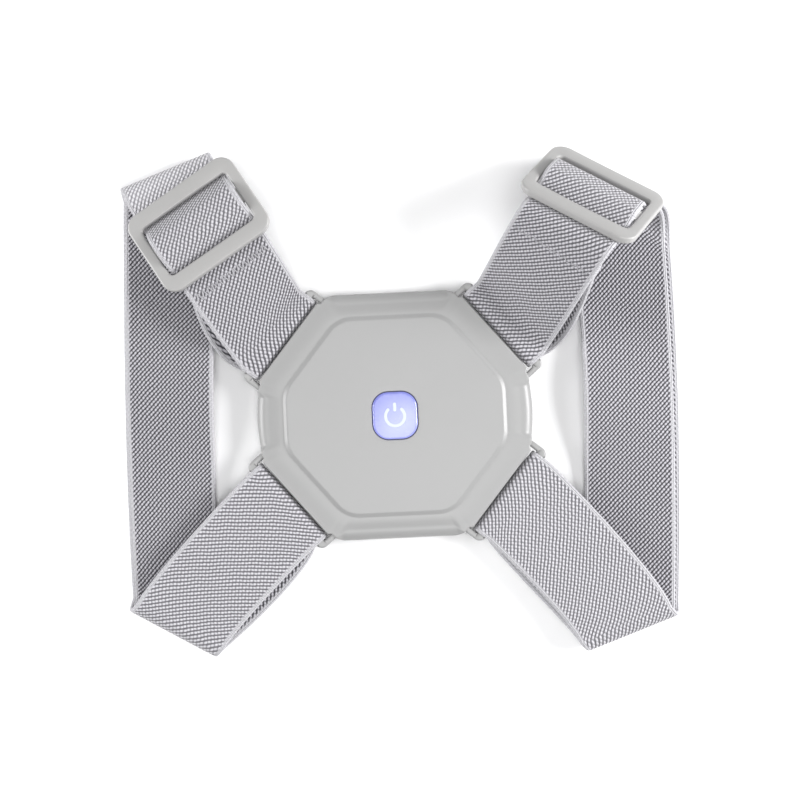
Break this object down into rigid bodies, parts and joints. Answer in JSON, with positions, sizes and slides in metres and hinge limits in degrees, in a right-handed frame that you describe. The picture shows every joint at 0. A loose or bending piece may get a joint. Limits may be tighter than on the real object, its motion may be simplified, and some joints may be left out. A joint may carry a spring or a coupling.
{
  "type": "posture corrector",
  "caption": "Octagonal back plate with a power button, with doubled elastic webbing straps that wrap its slot bars, fold round the arm openings and are adjusted by sliders.",
  "frame": {"origin": "centre of the back plate's flat back face, which lies on the table with both straps", "axes": "+Z out of the plate's front towards the button, +Y towards the wearer's neck, +X to the right in the picture"},
  "size_m": [0.2279, 0.2095, 0.0458],
  "materials": {
    "plate": "satin light grey",
    "button": "translucent pale blue",
    "webbing": "grey twill elastic",
    "slider": "satin grey"
  },
  "bodies": {
    "harness": {"back_cover": "plate", "front_cover": "plate", "left_strap": "webbing", "left_slider": "slider", "right_strap": "webbing", "right_slider": "slider"},
    "button": {"power_button": "button"}
  },
  "joints": [
    {"name": "button_press", "type": "slide", "parent": "harness", "child": "button", "axis": [0, 0, 1], "range_m": [-0.0008, 0], "stiffness_N_per_m": 600, "springref_m": 0.001}
  ]
}
